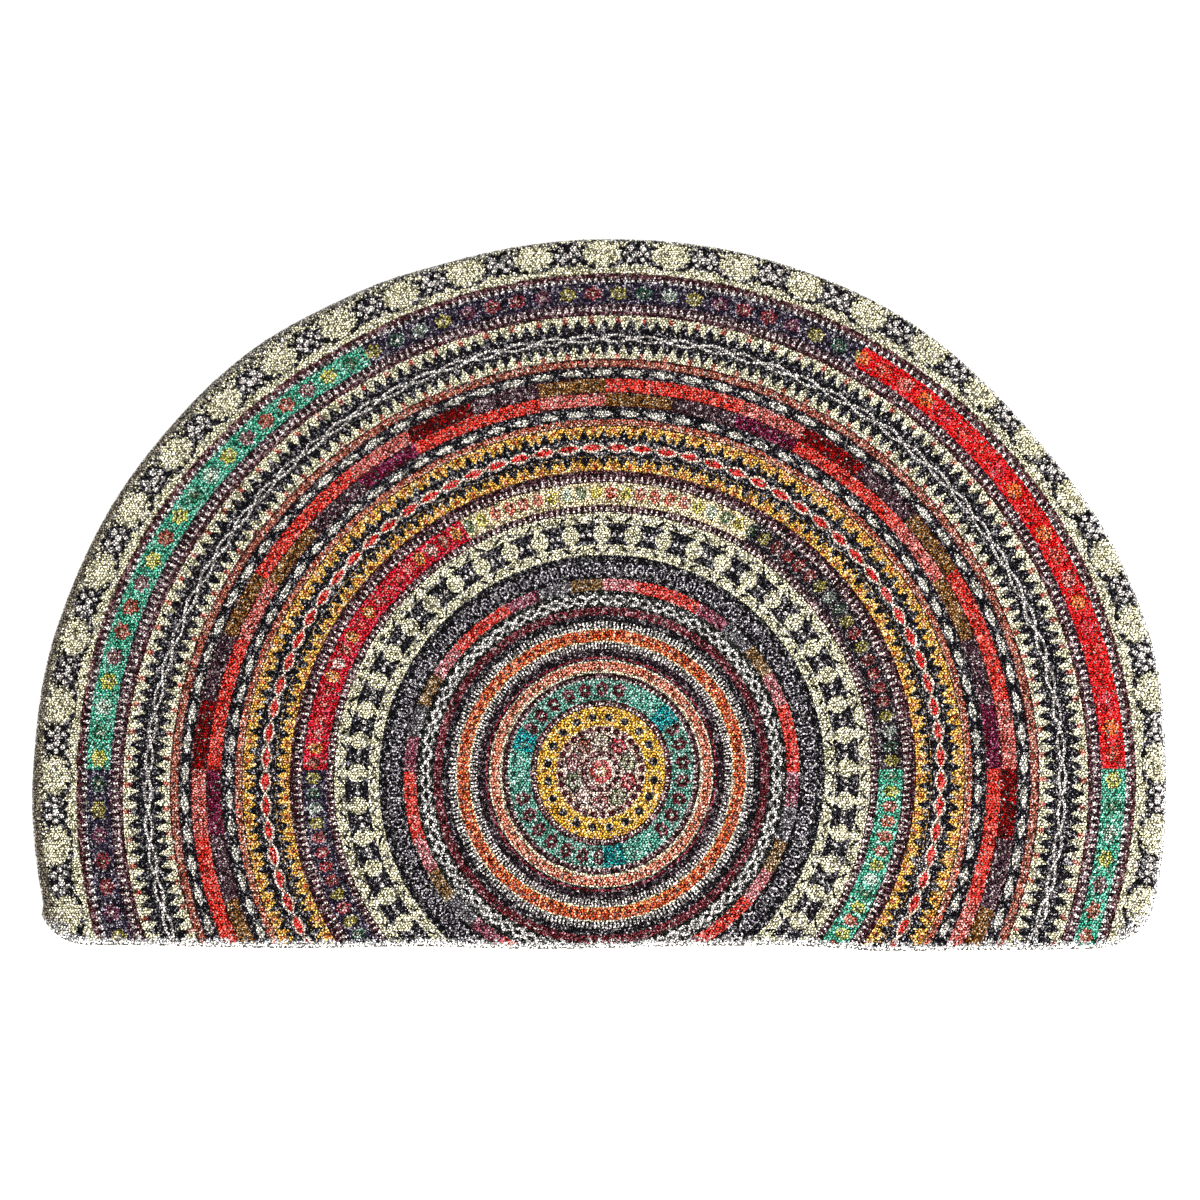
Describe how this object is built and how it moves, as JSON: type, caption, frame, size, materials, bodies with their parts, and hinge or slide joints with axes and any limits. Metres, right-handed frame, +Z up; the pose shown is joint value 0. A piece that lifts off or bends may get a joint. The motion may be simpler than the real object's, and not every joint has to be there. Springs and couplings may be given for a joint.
{
  "type": "doormat",
  "caption": "Half-moon doormat: a short printed cut pile with concentric ring bands, on a thin pale backing, with a straight front edge and rounded corners.",
  "frame": {"origin": "on the floor, under the middle of the mat's bounding box", "axes": "+X along the straight front edge, to the right seen from it; +Y from the front edge towards the top of the arc; +Z up out of the pile"},
  "size_m": [0.7966, 0.5268, 0.01],
  "materials": {
    "printed_pile": "short printed cut pile, matte, light and dark flecks",
    "backing": "matte pale sheet with a fine fabric emboss"
  },
  "bodies": {
    "root": {"pile_face": "printed_pile", "backing": "backing"}
  },
  "joints": []
}
